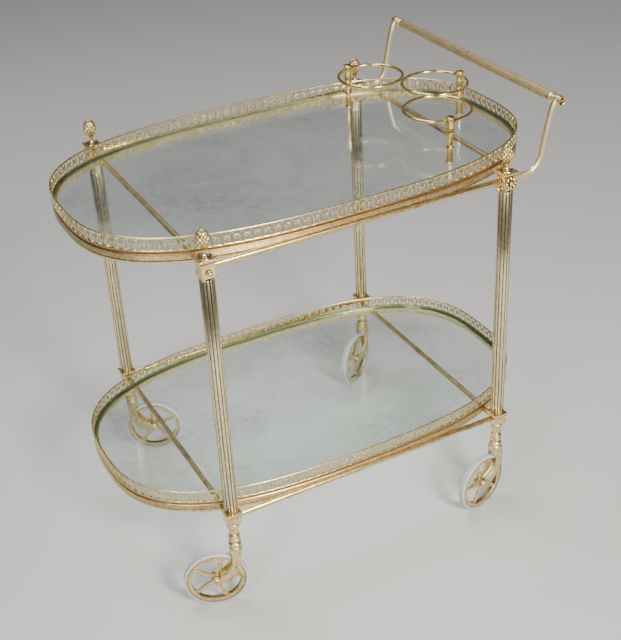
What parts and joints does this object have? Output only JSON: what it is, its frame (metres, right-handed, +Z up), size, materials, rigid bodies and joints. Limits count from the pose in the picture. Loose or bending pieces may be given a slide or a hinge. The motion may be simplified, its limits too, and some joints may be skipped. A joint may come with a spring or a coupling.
{
  "type": "bar cart",
  "caption": "Wheeled two-tier brass and glass bar cart with oval galleried trays, a bottle rack, a push handle and swivelling spoked casters.",
  "frame": {"origin": "on the floor, midway between the four posts", "axes": "+X along the length towards the handle end, +Y across to the back, +Z up"},
  "size_m": [0.723, 0.4857, 0.7072],
  "materials": {
    "fluted_brass": "pale fluted tube, polished ridges with dark grooves",
    "cast_brass": "cast and polished, browned in the hollows",
    "tube_brass": "drawn tube, aged to a brown gold",
    "pierced_brass": "pierced strip, polished, dark at the pierced edges",
    "ribbed_brass": "rolled ribbed band, aged",
    "rack_brass": "turned and bent wire, polished",
    "caster_brass": "cast caster brass, dull between the spokes",
    "glass": "clear float glass with a green edge, dusty and lightly scratched",
    "rubber": "pale grey rubber tyre, dusty"
  },
  "bodies": {
    "frame": {"post_front_left": "fluted_brass", "upper_block_front_left": "cast_brass", "finial_front_left": "cast_brass", "lower_block_front_left": "cast_brass", "post_front_right": "fluted_brass", "upper_block_front_right": "cast_brass", "finial_front_right": "cast_brass", "lower_block_front_right": "cast_brass", "post_back_left": "fluted_brass", "upper_block_back_left": "cast_brass", "finial_back_left": "cast_brass", "lower_block_back_left": "cast_brass", "post_back_right": "fluted_brass", "upper_block_back_right": "cast_brass", "finial_back_right": "cast_brass", "lower_block_back_right": "cast_brass", "upper_rail_front": "tube_brass", "upper_rail_back": "tube_brass", "upper_crossbar_left": "tube_brass", "upper_crossbar_right": "tube_brass", "upper_rim": "ribbed_brass", "upper_glass": "glass", "upper_gallery": "pierced_brass", "lower_rail_front": "tube_brass", "lower_rail_back": "tube_brass", "lower_crossbar_left": "tube_brass", "lower_crossbar_right": "tube_brass", "lower_rim": "ribbed_brass", "lower_glass": "glass", "lower_gallery": "pierced_brass", "bottle_ring_back": "rack_brass", "rack_leg_back": "rack_brass", "bottle_ring_middle": "rack_brass", "rack_leg_middle": "rack_brass", "bottle_ring_front": "rack_brass", "rack_leg_front": "rack_brass", "handle_arm_front": "tube_brass", "handle_arm_back": "tube_brass", "handle_grip": "tube_brass", "handle_screw_front": "cast_brass", "handle_screw_back": "cast_brass", "rosette_front": "cast_brass", "rosette_back": "cast_brass"},
    "swivel_front_left": {"caster_fork_front_left": "caster_brass", "axle_front_left": "caster_brass"},
    "roller_front_left": {"wheel_front_left": "caster_brass", "tyre_front_left": "rubber"},
    "swivel_front_right": {"caster_fork_front_right": "caster_brass", "axle_front_right": "caster_brass"},
    "roller_front_right": {"wheel_front_right": "caster_brass", "tyre_front_right": "rubber"},
    "swivel_back_left": {"caster_fork_back_left": "caster_brass", "axle_back_left": "caster_brass"},
    "roller_back_left": {"wheel_back_left": "caster_brass", "tyre_back_left": "rubber"},
    "swivel_back_right": {"caster_fork_back_right": "caster_brass", "axle_back_right": "caster_brass"},
    "roller_back_right": {"wheel_back_right": "caster_brass", "tyre_back_right": "rubber"}
  },
  "joints": [
    {"name": "swivel_front_left_turn", "type": "hinge", "parent": "frame", "child": "swivel_front_left", "pos_m": [-0.24, -0.2225, 0.12], "axis": [0, 0, 1], "continuous": true},
    {"name": "wheel_front_left_roll", "type": "hinge", "parent": "swivel_front_left", "child": "roller_front_left", "pos_m": [-0.2726, -0.21153, 0.05], "axis": [0.319, 0.9478, 0], "continuous": true},
    {"name": "swivel_front_right_turn", "type": "hinge", "parent": "frame", "child": "swivel_front_right", "pos_m": [0.24, -0.2225, 0.12], "axis": [0, 0, 1], "continuous": true},
    {"name": "wheel_front_right_roll", "type": "hinge", "parent": "swivel_front_right", "child": "roller_front_right", "pos_m": [0.20662, -0.23082, 0.05], "axis": [-0.2419, 0.9703, 0], "continuous": true},
    {"name": "swivel_back_left_turn", "type": "hinge", "parent": "frame", "child": "swivel_back_left", "pos_m": [-0.24, 0.2225, 0.12], "axis": [0, 0, 1], "continuous": true},
    {"name": "wheel_back_left_roll", "type": "hinge", "parent": "swivel_back_left", "child": "roller_back_left", "pos_m": [-0.20867, 0.20829, 0.05], "axis": [-0.4131, -0.9107, 0], "continuous": true},
    {"name": "swivel_back_right_turn", "type": "hinge", "parent": "frame", "child": "swivel_back_right", "pos_m": [0.24, 0.2225, 0.12], "axis": [0, 0, 1], "continuous": true},
    {"name": "wheel_back_right_roll", "type": "hinge", "parent": "swivel_back_right", "child": "roller_back_right", "pos_m": [0.21099, 0.20402, 0.05], "axis": [-0.5373, 0.8434, 0], "continuous": true}
  ]
}
